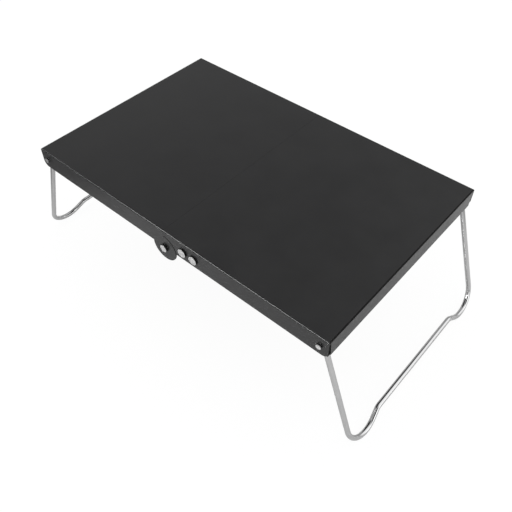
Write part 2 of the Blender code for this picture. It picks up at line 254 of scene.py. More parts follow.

# %% [markdown]
# ## Bright steel for the rivets
# A set rivet has been squashed by a tool, so its face is bright but mottled, with small pits and rubbed
# patches. The pattern reads Object coordinates, so every rivet gets its own marks. The side of the head is
# painted near black as painted shade: a number stored on the rivet's points gives the share of bright face against
# painted shade.

# %% Rivet steel
def rivet_steel():
    material, tree, shader = start_material("bright_rivet_steel", Metallic=1.0)
    place = place_in_object(tree)
    patches = noise(tree, place, 900.0, 3.0, 0.6)
    scratches = noise(tree, place, 3200.0, 2.0, 0.55)
    rubbed = ramp(tree, patches, 0.35, 0.68, 0.0, 1.0)
    face = blend_colour(tree, rubbed, (0.55, 0.55, 0.55), (0.86, 0.86, 0.86))
    wear_and_painted_shade = add_node(tree, "ShaderNodeAttribute", attribute_name="wear_and_painted_shade").outputs["Fac"]
    # The colour goes from painted shade, near black, on the side of the head to the bright mottled face.
    link_look(
        tree,
        shader,
        colour=blend(tree, wear_and_painted_shade, (0.05, 0.05, 0.05, 1.0), face, "RGBA"),
        roughness=ramp(tree, patches, 0.3, 0.7, 0.28, 0.46),
        normal=bump(tree, scratches, 0.5, 0.00003),
    )
    return material


rivet_finish = rivet_steel()
print("rivet finish", rivet_finish.name)

# %% [markdown]
# ## Polished wire
# The legs are stainless wire, drawn through a die and then polished. Drawing leaves faint lines that run
# with the wire, so this finish can't use plain space: it reads two numbers that the sweep below stores on the
# wire, the distance along it and the turn round it. The turn goes through a sine and a cosine, because a
# plain 0 to 1 would leave a seam where the ends meet.

# %% Wire steel
def wire_steel():
    material, tree, shader = start_material("polished_leg_wire", Metallic=1.0)
    along = add_node(tree, "ShaderNodeAttribute", attribute_name="along").outputs["Fac"]
    around = add_node(tree, "ShaderNodeAttribute", attribute_name="around").outputs["Fac"]
    angle = calculate(tree, "MULTIPLY", around, math.tau)
    across = calculate(tree, "COSINE", angle)
    beside = calculate(tree, "SINE", angle)
    slow = calculate(tree, "MULTIPLY", along, 14.0)
    lines_at = add_node(tree, "ShaderNodeCombineXYZ", {"X": across, "Y": beside, "Z": slow}).outputs[0]
    lines = noise(tree, lines_at, 9.0, 3.0, 0.6)
    patches = noise(tree, place_in_object(tree), 160.0, 2.0, 0.5)
    polished = ramp(tree, lines, 0.3, 0.7, 0.10, 0.17)
    handled = ramp(tree, patches, 0.35, 0.65, -0.02, 0.03)
    drawn = ramp(tree, lines, 0.3, 0.7, 0.0, 1.0)
    link_look(
        tree,
        shader,
        colour=blend_colour(tree, drawn, (0.46, 0.46, 0.465), (0.58, 0.58, 0.58)),
        roughness=calculate(tree, "ADD", polished, handled),
        normal=bump(tree, lines, 0.3, 0.00002),
    )
    return material


wire_finish = wire_steel()
print("wire finish", wire_finish.name)

# %% [markdown]
# ## Shapes for cutting sheet
# A sheet part is a flat blank with outlines cut in it, then bent. Here the bent form is made first and the
# outlines are cut after, with solid cutters and a Boolean. Most cutters are prisms over an outline: a disc for
# holes and the ear, and a square corner less a quarter disc for rounding a corner.

# %% Solids for joining and cutting
COAT_SLOT, EDGE_AND_SHADE_SLOT = 0, 1
CUT_MARGIN = 0.002
ROUND_STEPS = 16
SCRATCH = bpy.data.collections.new("cutters")
bpy.context.scene.collection.children.link(SCRATCH)


def object_from(form, name, collection=None):
    """Turns a closed bmesh into a new object at the origin, with its faces outwards."""
    bmesh.ops.recalc_face_normals(form, faces=form.faces)
    mesh = bpy.data.meshes.new(name)
    form.to_mesh(mesh)
    form.free()
    made = bpy.data.objects.new(name, mesh)
    (collection or bpy.context.scene.collection).objects.link(made)
    return made


def give_finishes(piece):
    """The coat in its slot and the cut edge, with the painted shade, in its own, on the sheet and on what cuts it
    alike.
    """
    piece.data.materials.append(coat)
    piece.data.materials.append(edge_coat_and_painted_shade)
    return piece


def prism(name, outline, low_y, high_y):
    """A solid over an outline of (x, z), between two values of Y. Its walls leave cut edges, its caps the coat."""
    form = bmesh.new()
    front = form.faces.new([form.verts.new((x, low_y, z)) for x, z in outline])
    made = bmesh.ops.extrude_face_region(form, geom=[front])
    moved = [v for v in made["geom"] if isinstance(v, bmesh.types.BMVert)]
    bmesh.ops.translate(form, verts=moved, vec=(0.0, high_y - low_y, 0.0))
    form.normal_update()
    for face in form.faces:
        face.material_index = COAT_SLOT if abs(face.normal.y) > 0.9 else EDGE_AND_SHADE_SLOT
    return give_finishes(object_from(form, name, SCRATCH))


def arc(centre, radius, start, end, steps):
    """Points round a centre, from one angle to another, both included."""
    angles = [start + (end - start) * n / steps for n in range(steps + 1)]
    return [(centre[0] + radius * math.cos(a), centre[1] + radius * math.sin(a)) for a in angles]


def disc(name, centre, radius, low_y, high_y, steps):
    return prism(name, arc(centre, radius, 0.0, math.tau * (1 - 1 / steps), steps - 1), low_y, high_y)


def corner_round(name, corner, inward, radius, low_y, high_y):
    """What is cut off a square corner to round it: inward is (1 or -1, 1 or -1)."""
    centre = (corner[0] + inward[0] * radius, corner[1] + inward[1] * radius)
    start = math.atan2(0.0, -inward[0])
    middle = math.atan2(-inward[1], -inward[0])
    sweep = math.remainder(middle - start, math.tau) * 2
    beyond = (corner[0] - inward[0] * CUT_MARGIN, corner[1] - inward[1] * CUT_MARGIN)
    outline = arc(centre, radius, start, start + sweep, ROUND_STEPS)
    outline += [(centre[0], beyond[1]), beyond, (beyond[0], centre[1])]
    return prism(name, outline, low_y, high_y)


print("cutters reach", CUT_MARGIN, "m past what they cut")

# %% [markdown]
# A cutter works through a Boolean modifier, and a modifier is only a promise until it is settled: the piece's
# mesh is replaced by what its modifiers make of it, and they are dropped. Blender can do the same by applying
# them one at a time, but a new mesh from the evaluated object needs no selection and takes them all at once.

# %% Cut and settle
def cut(piece, other, operation="DIFFERENCE"):
    step = piece.modifiers.new(other.name, "BOOLEAN")
    step.operation = operation
    step.object = other
    step.material_mode = "TRANSFER"


def settle(piece):
    """Replaces a piece's mesh with what its modifiers make, and drops the modifiers."""
    bpy.context.view_layer.update()
    made = bpy.data.meshes.new_from_object(piece.evaluated_get(bpy.context.evaluated_depsgraph_get()))
    piece.modifiers.clear()
    old, piece.data = piece.data, made
    bpy.data.meshes.remove(old)
    return piece


print("cutter collection", SCRATCH.name)

# %% [markdown]
# ## The bent trays
# Each half of the top is one sheet, bent down along both long sides and the outer end. A box without its
# underside and its inner end is already that form, so its three upper edges are bevelled into bends. The bend
# at the table's end gets the near-black dull finish of the cut edges, as painted shade for the dark line it shows.

# %% Bent skin
BEND_STEPS = 10


def bent_skin(side):
    """The outer skin of one half, without thickness: side is -1 for the left and 1 for the right."""
    near = fold_point.x + side * FOLD_SEAM / 2
    far = side * half_length
    form = bmesh.new()
    bmesh.ops.create_cube(form, size=1.0)
    for vert in form.verts:
        vert.co.x = max(near, far) if vert.co.x > 0 else min(near, far)
        vert.co.y = math.copysign(half_width, vert.co.y)
        vert.co.z = top_height if vert.co.z > 0 else flange_bottom
    form.normal_update()
    opened = [f for f in form.faces if f.normal.z < -0.5 or f.normal.x * side < -0.5]
    bmesh.ops.delete(form, geom=opened, context="FACES")
    middle = (top_height + flange_bottom) / 2
    bends = [e for e in form.edges if len(e.link_faces) == 2 and all(v.co.z > middle for v in e.verts)]
    bmesh.ops.bevel(
        form,
        geom=bends,
        offset=BEND_RADIUS,
        offset_type="OFFSET",
        segments=BEND_STEPS,
        profile=0.5,
        affect="EDGES",
    )
    form.normal_update()
    # Faces of the end bend take the cut edges' slot: painted shade, near black, along that bend.
    for face in form.faces:
        lengthwise, crosswise = abs(face.normal.x), abs(face.normal.y)
        end_bend = 0.1 < lengthwise < 0.98 and crosswise < lengthwise
        face.material_index = EDGE_AND_SHADE_SLOT if end_bend else COAT_SLOT
    return form


print("bends of", BEND_RADIUS, "m in", BEND_STEPS, "steps")

# %% [markdown]
# The end flange is folded back flat on itself inside, as a hem that stiffens it and stops the leg. The hem is
# drawn by cutting the flange's face off at the height where the fold begins, and extruding the edge that is
# left round a tight half turn and up. It stops just short of the long flanges.

# %% Hem
HEM_RADIUS = 0.001
HEM_HEIGHT = 0.0155
HEM_END = 0.0002
FACES_END = 0.99
ON_EDGE = 1e-6


def fold_hem(form, side):
    far = side * half_length
    hem_turn = flange_bottom + HEM_RADIUS
    hem_end = flange_inside - HEM_END
    for point, normal in (
        ((0.0, hem_end, 0.0), (0.0, 1.0, 0.0)),
        ((0.0, -hem_end, 0.0), (0.0, 1.0, 0.0)),
        ((0.0, 0.0, hem_turn), (0.0, 0.0, 1.0)),
    ):
        form.normal_update()
        ends = [f for f in form.faces if abs(f.normal.x) > FACES_END]
        around = [e for f in ends for e in f.edges] + [v for f in ends for v in f.verts]
        bmesh.ops.bisect_plane(form, geom=ends + list(dict.fromkeys(around)), plane_co=point, plane_no=normal)
    form.normal_update()
    low = []
    for face in form.faces:
        middle = face.calc_center_median()
        if abs(face.normal.x) > FACES_END and middle.z < hem_turn and abs(middle.y) < hem_end:
            low.append(face)
    bmesh.ops.delete(form, geom=low, context="FACES")
    at_turn = {v for v in form.verts if abs(v.co.z - hem_turn) < ON_EDGE and abs(v.co.x - far) < ON_EDGE}
    edge = [e for e in form.edges if e.is_boundary and at_turn.issuperset(e.verts)]
    centre_x = far - side * HEM_RADIUS
    turns = [math.pi * n / BEND_STEPS for n in range(1, BEND_STEPS + 1)]
    path = [(centre_x + side * HEM_RADIUS * math.cos(a), hem_turn - HEM_RADIUS * math.sin(a)) for a in turns]
    path.append((path[-1][0], flange_bottom + HEM_HEIGHT))
    for x, z in path:
        made = bmesh.ops.extrude_edge_only(form, edges=edge)
        edge = [e for e in made["geom"] if isinstance(e, bmesh.types.BMEdge)]
        for vert in {v for e in edge for v in e.verts}:
            vert.co.x = x
            vert.co.z = z


print("hem stands", HEM_HEIGHT, "m up inside the end flange")

# %% [markdown]
# Solidify gives the skin its wall, inwards from the outer face. The wall is a hair thinner than the sheet, so
# that the flange and its hem don't share a plane. Where the slit at a corner will later show the hem behind it,
# the hem's face gets the near-black dull finish as painted shade, so that the slit looks black.

# %% Give the skin a wall
WALL_SPARE = 0.00004
SAME_PLANE = 1e-4


def tray_shell(name, side):
    form = bent_skin(side)
    fold_hem(form, side)
    bmesh.ops.recalc_face_normals(form, faces=form.faces)
    top = max(form.faces, key=lambda f: f.calc_area())
    if top.normal.z < 0:
        bmesh.ops.reverse_faces(form, faces=form.faces)
    mesh = bpy.data.meshes.new(name)
    form.to_mesh(mesh)
    form.free()
    tray = give_finishes(bpy.data.objects.new(name, mesh))
    bpy.context.scene.collection.objects.link(tray)
    wall = tray.modifiers.new("sheet", "SOLIDIFY")
    wall.material_offset_rim = EDGE_AND_SHADE_SLOT - COAT_SLOT
    wall.thickness = SHEET - WALL_SPARE
    wall.offset = -1.0
    wall.use_even_offset = True
    settle(tray)
    # The hem's face behind each slit is painted near black: painted shade inside the slit.
    behind_slit = half_length - 2 * HEM_RADIUS + (SHEET - WALL_SPARE)
    for face in tray.data.polygons:
        if face.normal.x * side > 0.9 and abs(face.center.x * side - behind_slit) < SAME_PLANE:
            face.material_index = EDGE_AND_SHADE_SLOT
    return tray


print("wall", round(SHEET - WALL_SPARE, 5), "m")

# %% [markdown]
# ## Slits at the corners
# At the two outer corners the end flange stops short of the long flange, along a slightly slanted line that
# starts under the bend. Only its outer layer is cut, so the hem behind, its face painted near black as painted
# shade, keeps the slit black. A hair is shaved off the long flange's end beside it, which makes that end a cut
# edge. Both cutters are boxes, and the slit's box is slanted on the side towards the end flange.

# %% Slit and shave cutters
SLIT_TOP = 0.0008
SLIT_BOTTOM = {"front": 0.0032, "rear": 0.0012}
SHAVE = 0.00002
CUT_LAP = 0.00001
slit_start = top_height - BEND_RADIUS - SHEET / 2
below_flange = flange_bottom - CUT_MARGIN


def edge_cutter(form, name):
    """Closes a cutter of which every face leaves a cut edge."""
    for face in form.faces:
        face.material_index = EDGE_AND_SHADE_SLOT
    return give_finishes(object_from(form, name, SCRATCH))


def end_shave(name, side, outward):
    xs = sorted((side * (half_length - SHAVE), side * (half_length + CUT_MARGIN)))
    ys = sorted((outward * (flange_inside - CUT_LAP), outward * (half_width + CUT_MARGIN)))
    form = bmesh.new()
    bmesh.ops.create_cube(form, size=1.0)
    for vert in form.verts:
        vert.co = [pair[value > 0] for value, pair in zip(vert.co, (xs, ys, (below_flange, slit_start)))]
    return edge_cutter(form, name)


def slit_cutter(name, side, outward, low_width):
    edge = outward * flange_inside
    taper = (low_width - SLIT_TOP) / (top_height - flange_bottom)
    form = bmesh.new()
    bmesh.ops.create_cube(form, size=1.0)
    for vert in form.verts:
        outer = vert.co.y * outward > 0
        vert.co.x = side * (half_length + (CUT_MARGIN if vert.co.x > 0 else -SHEET + CUT_LAP))
        vert.co.z = slit_start if vert.co.z > 0 else below_flange
        vert.co.y = edge if outer else edge - outward * (SLIT_TOP + taper * (top_height - vert.co.z))
    return edge_cutter(form, name)


print("slit widths at the foot", SLIT_BOTTOM)

# %% [markdown]
# ## Broken edges
# A coat of powder never leaves an edge sharp, so a narrow bevel breaks nearly every cut edge. A Boolean leaves
# points that all but touch, and one edge shorter than the bevel would make all the others as narrow as
# itself. So the mesh is cleaned first, and the few edges beside a very short one are left sharp. Shading is
# smooth up to an angle, and large flat faces keep their own direction.

# %% Clean, break and smooth
CUT_MERGE, BEVEL_MERGE = 2e-6, 1e-6
FLAT_ANGLE, SHARP_ANGLE = math.radians(0.6), math.radians(50)
SHORT_EDGE = 2.2
BREAK_STEPS = 2
AT_SEAM = 2e-5


def close_up(form, distance):
    """Merges points that all but touch, so that no sliver of a face is left between them."""
    bmesh.ops.remove_doubles(form, verts=form.verts, dist=distance)
    bmesh.ops.dissolve_degenerate(form, edges=form.edges, dist=distance)


def break_edges(piece, width, plain_at=None):
    """Merges and cleans a cut mesh, and rounds its sharp edges, apart from those in the plane x = plain_at."""
    form = bmesh.new()
    form.from_mesh(piece.data)
    close_up(form, CUT_MERGE)
    bmesh.ops.dissolve_limit(form, angle_limit=FLAT_ANGLE, verts=form.verts, edges=form.edges)
    weight = form.edges.layers.float.new("bevel_weight_edge")
    for edge in form.edges:
        if len(edge.link_faces) != 2 or edge.calc_face_angle(0.0) < SHARP_ANGLE:
            continue
        if min(near.calc_length() for vert in edge.verts for near in vert.link_edges) < SHORT_EDGE * width:
            continue
        if plain_at is None or any(abs(vert.co.x - plain_at) > AT_SEAM for vert in edge.verts):
            edge[weight] = 1.0
    form.to_mesh(piece.data)
    form.free()
    bevel = piece.modifiers.new("broken edges", "BEVEL")
    bevel.width = width
    bevel.segments = BREAK_STEPS
    bevel.limit_method = "WEIGHT"
    bevel.use_clamp_overlap = True
    settle(piece)
    form = bmesh.new()
    form.from_mesh(piece.data)
    close_up(form, BEVEL_MERGE)
    form.to_mesh(piece.data)
    form.free()


def smooth(piece, degrees):
    piece.data.shade_smooth()
    piece.data.set_sharp_from_angle(angle=math.radians(degrees))
    even = piece.modifiers.new("flat faces lead", "WEIGHTED_NORMAL")
    even.keep_sharp = True
    return settle(piece)


print("edges above", round(math.degrees(SHARP_ANGLE)), "degrees are broken")

# %% [markdown]
# ## Cutting the trays
# The long flange's lower corner is rounded and a hole takes the leg. The left tray carries a round ear at each
# side of the fold, and the right tray's flange is cut out round that ear and drilled for the leaf rivets.

# %% Cut and finish the trays
LONG_SIDES = (("front", -1), ("rear", 1))
WIRE_RADIUS = 0.00244
CORNER_ROUND = 0.006
EAR_GAP = 0.0009
HOLE_CLEARANCE = 0.00012
PIVOT_HOLE, LEAF_RIVET_HOLE = 0.0024, 0.0025
EDGE_BREAK = 0.00016
EAR_STEPS, HOLE_STEPS = 128, 48
leg_points = {side: Vector(hinges[f"{word}_leg_fold"]["pos_m"]) for side, word in ((-1, "left"), (1, "right"))}


def box_middle(node):
    low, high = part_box(node)
    return (low + high) / 2


leaf_rivet_at = {key: box_middle(f"front_leaf_rivet_{key}") for key in ("near", "far")}


def make_tray(name, side):
    tray = tray_shell(name, side)
    for place, outward in LONG_SIDES:
        label = f"{name}_{place}"
        ys = sorted((outward * (flange_inside - SHEET / 2), outward * (half_width + CUT_MARGIN)))
        cut(tray, slit_cutter(f"{label}_slit", side, outward, SLIT_BOTTOM[place]))
        cut(tray, end_shave(f"{label}_end", side, outward))
        corner = (side * half_length, flange_bottom)
        cut(tray, corner_round(f"{label}_round", corner, (-side, 1), CORNER_ROUND, *ys))
        leg = leg_points[side]
        cut(tray, disc(f"{label}_leg_hole", (leg.x, leg.z), WIRE_RADIUS + HOLE_CLEARANCE, *ys, HOLE_STEPS))
        pivot = (fold_point.x, fold_point.z)
        if side < 0:
            skin_ys = sorted((outward * (flange_inside + WALL_SPARE), outward * half_width))
            cut(tray, disc(f"{label}_ear", pivot, ear_radius, *skin_ys, EAR_STEPS), "UNION")
            cut(tray, disc(f"{label}_pivot_hole", pivot, PIVOT_HOLE, *ys, HOLE_STEPS))
        else:
            cut(tray, disc(f"{label}_ear_room", pivot, ear_radius + EAR_GAP, *ys, EAR_STEPS))
            for key, spot in leaf_rivet_at.items():
                cut(tray, disc(f"{label}_{key}_hole", (spot.x, spot.z), LEAF_RIVET_HOLE, *ys, HOLE_STEPS))
    settle(tray)
    break_edges(tray, EDGE_BREAK, plain_at=fold_point.x + side * FOLD_SEAM / 2)
    return smooth(tray, 50)


trays = {side: make_tray(name, side) for name, side in (("left_top_tray", -1), ("right_top_tray", 1))}
for tray in trays.values():
    dull = sum(face.material_index for face in tray.data.polygons)
    print(tray.name, len(tray.data.polygons), "faces,", dull, "dull", tuple(round(v, 4) for v in tray.dimensions))

# %% [markdown]
# ## The hinge plates
# A stamped plate is riveted inside the right tray's flange at each side, and its round end pivots behind the
# left tray's ear. The CAD outline is right, so a copy of it is cleaned and its edges are broken, as the coat
# leaves them. A CAD node's mesh is loose triangles, so the copy's points are merged first.

# %% Hinge plates
CAD_MERGE = 1e-6
PLATE_BREAK = 0.0002


def make_plate(name, node):
    form = bmesh.new()
    form.from_mesh(nodes[node].data)
    bmesh.ops.remove_doubles(form, verts=form.verts, dist=CAD_MERGE)
    plate = object_from(form, name)
    break_edges(plate, PLATE_BREAK)
    plate.data.materials.clear()
    plate.data.materials.append(plate_coat)
    return smooth(plate, 50)


plates = {place: make_plate(f"{place}_hinge_plate", f"{place}_hinge_leaf") for place, _ in LONG_SIDES}
for plate in plates.values():
    print(plate.name, len(plate.data.polygons), "faces")

# %% [markdown]
# ## Turning a rivet
# A rivet and a washer are round, so each is a profile turned round an axis, as on a lathe. The profile also
# says for each ring how much is bright face and how much painted shade, for the finish to read.

# %% Lathe
LATHE_STEPS = 64


def lathe(name, profile):
    """Turns a profile of (radius, height, share of bright face against painted shade) round Z. It starts and ends
    on the axis, or closes on itself.
    """
    form = bmesh.new()
    # Each point keeps its ring's share of bright face, which is low where the finish paints shade.
    wear_and_shade_layer = form.verts.layers.float.new("wear_and_painted_shade")
    rings = []
    for radius, height, wear_and_painted_shade in profile:
        count = LATHE_STEPS if radius > 0.0 else 1
        turns = [math.tau * n / count for n in range(count)]
        ring = [form.verts.new((radius * math.cos(a), radius * math.sin(a), height)) for a in turns]
        for vert in ring:
            vert[wear_and_shade_layer] = wear_and_painted_shade
        rings.append(ring)
    pairs = list(zip(rings, rings[1:]))
    if len(rings[0]) > 1:
        pairs.append((rings[-1], rings[0]))
    for upper, lower in pairs:
        for n in range(LATHE_STEPS):
            m = (n + 1) % LATHE_STEPS
            around = [upper[n % len(upper)], lower[n % len(lower)], lower[m % len(lower)], upper[m % len(upper)]]
            form.faces.new(list(dict.fromkeys(around)))
    return smooth(object_from(form, name, SCRATCH), 30)


print("lathe makes", LATHE_STEPS, "sides")

# %% [markdown]
# ## Setting copies
# The same rivet sits at several places, so Geometry Nodes put a copy of one master at each place. The places
# are the points of a small mesh, each with a direction that says which way the head faces. The tree realises
# the copies at the end, so that each set becomes one plain mesh.

# %% The tree that sets copies
def start_tree(name, inputs):
    """A Geometry Nodes tree with geometry in and out, and more named inputs, each with its kind and default."""
    tree = bpy.data.node_groups.new(name, "GeometryNodeTree")
    for way in ("INPUT", "OUTPUT"):
        tree.interface.new_socket("Geometry", in_out=way, socket_type="NodeSocketGeometry")
    for label, (kind, default) in inputs.items():
        socket = tree.interface.new_socket(label, in_out="INPUT", socket_type=f"NodeSocket{kind}")
        if default is not None:
            socket.default_value = default
    return tree, tree.nodes.new("NodeGroupInput").outputs


def end_tree(tree, made, finish):
    """Makes copies real, gives the finish and sends the geometry out."""
    real = add_node(tree, "GeometryNodeRealizeInstances", {"Geometry": made})
    sockets = {"Geometry": real.outputs["Geometry"], "Material": finish}
    coated = add_node(tree, "GeometryNodeSetMaterial", sockets)
    leave = tree.nodes.new("NodeGroupOutput")
    tree.links.new(coated.outputs["Geometry"], leave.inputs["Geometry"])
    print(tree.name, "inputs", [item.name for item in tree.interface.items_tree if item.in_out == "INPUT"])
    return tree


def copies_tree():
    """Sets a copy of the master on every point, turned so that its Z lies along the point's direction."""
    inputs = {"Master": ("Object", None), "Size": ("Float", 1.0), "Finish": ("Material", None)}
    tree, entry = start_tree("set_copies", inputs)
    master = add_node(tree, "GeometryNodeObjectInfo", {"Object": entry["Master"]})
    facing = add_node(tree, "GeometryNodeInputNamedAttribute", {"Name": "facing"}, data_type="FLOAT_VECTOR")
    aim = add_node(tree, "FunctionNodeAlignRotationToVector", {"Vector": facing.outputs["Attribute"]}, axis="Z")
    spin = add_node(tree, "FunctionNodeRandomValue", {2: 0.0, 3: math.tau, "Seed": 7}, data_type="FLOAT")
    own_turn = add_node(tree, "ShaderNodeCombineXYZ", {"Z": spin.outputs[1]})
    rotate = add_node(
        tree,
        "FunctionNodeRotateRotation",
        {"Rotation": aim.outputs["Rotation"], "Rotate By": own_turn.outputs["Vector"]},
        rotation_space="LOCAL",
    )
    placed = add_node(
        tree,
        "GeometryNodeInstanceOnPoints",
        {
            "Points": entry["Geometry"],
            "Instance": master.outputs["Geometry"],
            "Rotation": rotate.outputs["Rotation"],
            "Scale": entry["Size"],
        },
    )
    return end_tree(tree, placed.outputs["Instances"], entry["Finish"])


set_copies = copies_tree()

# %% [markdown]
# A modifier keeps its inputs under the sockets' identifiers, which say nothing to a reader, so a small
# function looks them up by name. They are set before the object is first evaluated.

# %% Use the tree
def set_inputs(modifier, **values):
    """Sets a modifier's inputs by the sockets' names, through their identifiers."""
    for item in modifier.node_group.interface.items_tree:
        if item.in_out == "INPUT" and item.name in values:
            modifier[item.identifier] = values[item.name]


def copies(name, master, places, finish):
    """One mesh with a copy of the master at each (point, direction)."""
    mesh = bpy.data.meshes.new(name)
    mesh.from_pydata([tuple(point) for point, _ in places], [], [])
    facing = mesh.attributes.new("facing", "FLOAT_VECTOR", "POINT")
    for entry, (_, direction) in zip(facing.data, places):
        entry.vector = direction
    piece = bpy.data.objects.new(name, mesh)
    bpy.context.scene.collection.objects.link(piece)
    modifier = piece.modifiers.new("copies", "NODES")
    modifier.node_group = set_copies
    set_inputs(modifier, Master=master, Size=1.0, Finish=finish)
    settle(piece)
    if "facing" in piece.data.attributes:
        piece.data.attributes.remove(piece.data.attributes["facing"])
    print(name, len(piece.data.polygons), "faces")
    return piece


# %% [markdown]
# ## Rivets
# The two kinds of rivet differ only in their sizes. A head has a nearly flat face with a hammered rim and an
# upright side, a shank that fills the holes, and a flatter tail on the inside. The length comes from the CAD
# node's box. A fine crown on the face keeps it from looking like a mirror.

# %% Rivets
CROWN = 0.0002
RIM = 0.00034
# Each step round the rim comes with its share of bright face. Down the side of the head it goes over to painted
# shade.
RIM_TURNS = ((0.0, 1.0), (0.30, 0.5), (0.60, 0.05), (1.10, 0.0), (1.57, 0.0))
LEAF_HEAD = 0.0014
PIVOT_HEAD = 0.002
TAIL_HEIGHT = 0.0011


def rivet_master(name, node, head_radius, shank_radius, tail_radius, head_height):
    low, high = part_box(node)
    reach = high.y - low.y
    tail = -(reach - head_height)
    edge = head_radius - RIM
    profile = [(0.0, head_height, 1.0)]
    profile += [(head_radius * k, head_height - CROWN * k * k, 1.0) for k in (0.3, 0.6, 0.8)]
    for angle, wear_and_painted_shade in RIM_TURNS:
        profile.append((edge + RIM * math.sin(angle), head_height - CROWN - RIM * (1 - math.cos(angle)), wear_and_painted_shade))
    profile += [(head_radius, 0.0, 0.0), (shank_radius, 0.0, 0.0), (shank_radius, tail + TAIL_HEIGHT, 0.0)]
    profile += [(tail_radius, tail + TAIL_HEIGHT, 0.2), (tail_radius, tail + RIM, 0.3)]
    profile += [(tail_radius - RIM * 0.3, tail + RIM * 0.3, 0.8), (tail_radius - RIM, tail, 1.0), (0.0, tail, 1.0)]
    return lathe(name, profile)


def seat(node, outward, head_height):
    """Where a rivet's head meets the flange, and which way it faces: the head ends where the CAD box does."""
    low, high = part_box(node)
    outer = Vector(((low.x + high.x) / 2, high.y if outward > 0 else low.y, (low.z + high.z) / 2))
    return outer - Vector((0.0, outward * head_height, 0.0)), (0.0, outward, 0.0)


leaf_rivet = rivet_master("leaf_rivet_master", "front_leaf_rivet_near", 0.0045, 0.0022, 0.0035, LEAF_HEAD)
pivot_rivet = rivet_master("pivot_rivet_master", "front_pivot_rivet", 0.0039, 0.0021, 0.0036, PIVOT_HEAD)
leaf_rivet_names = [
    (f"{place}_leaf_rivet_{key}", outward) for place, outward in LONG_SIDES for key in leaf_rivet_at
]
leaf_seats = [seat(node, outward, LEAF_HEAD) for node, outward in leaf_rivet_names]
pivot_seats = [seat(f"{place}_pivot_rivet", outward, PIVOT_HEAD) for place, outward in LONG_SIDES]
leaf_rivets = copies("leaf_rivets", leaf_rivet, leaf_seats, rivet_finish)
pivot_rivets = copies("pivot_rivets", pivot_rivet, pivot_seats, rivet_finish)

# %% [markdown]
# A washer under each pivot rivet's tail spreads its load. Its size comes from the CAD node's box, and its
# outer corners are eased a little, as a punched ring's are after tumbling.

# %% Washers
WASHER_EASE = 0.00015
WASHER_WORN = 0.7
washer_low, washer_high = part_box("front_pivot_washer")
washer_thickness = washer_high.y - washer_low.y
washer_radius = (washer_high.x - washer_low.x) / 2
washer_outline = (
    (PIVOT_HOLE, washer_thickness),
    (washer_radius - WASHER_EASE, washer_thickness),
    (washer_radius, washer_thickness - WASHER_EASE),
    (washer_radius, WASHER_EASE),
    (washer_radius - WASHER_EASE, 0.0),
    (PIVOT_HOLE, 0.0),
)
washer_master = lathe("washer_master", [(radius, height, WASHER_WORN) for radius, height in washer_outline])
washer_seats = []
for place, outward in LONG_SIDES:
    low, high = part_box(f"{place}_pivot_washer")
    inner = low.y if outward > 0 else high.y
    washer_seats.append((Vector(((low.x + high.x) / 2, inner, (low.z + high.z) / 2)), (0.0, outward, 0.0)))
pivot_washers = copies("pivot_washers", washer_master, washer_seats, rivet_finish)

# %% [markdown]
# ## The wire legs
# A leg is one wire, bent in a flat plane: two side runs, a round foot at each corner, a run between the feet
# that is set a little higher so that only the feet touch the ground, and two ends turned outward through the
# flanges and headed over. A piece that follows a path is what Geometry Nodes do well: the path is a
# line of points, and the tree sweeps a circle along it. Each point carries a swell, which makes the heads.

# %% The sweep tree
WIRE_SIDES = 32


def store(tree, geometry, name, value):
    """Stores a number on the points of a curve, for the finish to read."""
    sockets = {"Geometry": geometry, "Name": name, "Value": value}
    node = add_node(tree, "GeometryNodeStoreNamedAttribute", sockets, data_type="FLOAT", domain="POINT")
    return node.outputs["Geometry"]


def wire_tree():
    inputs = {"Wire radius": ("Float", WIRE_RADIUS), "Sides": ("Int", WIRE_SIDES), "Finish": ("Material", None)}
    tree, entry = start_tree("sweep_wire", inputs)
    swell = add_node(tree, "GeometryNodeInputNamedAttribute", {"Name": "swell"}, data_type="FLOAT")
    path = add_node(tree, "GeometryNodeMeshToCurve", {"Mesh": entry["Geometry"]})
    swollen = add_node(
        tree,
        "GeometryNodeSetCurveRadius",
        {"Curve": path.outputs["Curve"], "Radius": swell.outputs["Attribute"]},
    )
    ring = add_node(
        tree, "GeometryNodeCurvePrimitiveCircle", {"Resolution": entry["Sides"], "Radius": entry["Wire radius"]}
    )
    on_path = add_node(tree, "GeometryNodeSplineParameter").outputs["Length"]
    on_ring = add_node(tree, "GeometryNodeSplineParameter").outputs["Factor"]
    sweep = add_node(
        tree,
        "GeometryNodeCurveToMesh",
        {
            "Curve": store(tree, swollen.outputs["Curve"], "along", on_path),
            "Profile Curve": store(tree, ring.outputs["Curve"], "around", on_ring),
            "Fill Caps": True,
        },
    )
    return end_tree(tree, sweep.outputs["Mesh"], entry["Finish"])


sweep_wire = wire_tree()

# %% [markdown]
# The path is drawn in the leg's own plane, as a distance across the table and a distance down from the
# hinge line, and then swung out by the angle at which the wire rests on the hem. Two joined arcs make each
# foot and its rise to the run. Bends get a point every few degrees, so that reflections glide along them. The
# head's points say how far the wire swells there, and how much is bright face and how much painted shade on its
# side.

# %% Leg path
SIDE_GAP = 0.0015
PIVOT_BEND = 0.0035
FOOT_REACH = 0.1262
FOOT_RADIUS = 0.0215
RISE_ANGLE = math.radians(32)
RUN_RISE = 0.0093
RUN_BEND = 0.010
SEAT_GAP = 0.0003
HEAD_SWELL = 1.23
HEAD_HEIGHT = 0.0015
HEAD_STEP = 0.00001
HEAD_EASE, EASE_SWELL = 0.00015, 0.04
HEAD_SIDE, DOME_SHARE = 0.55, 0.32
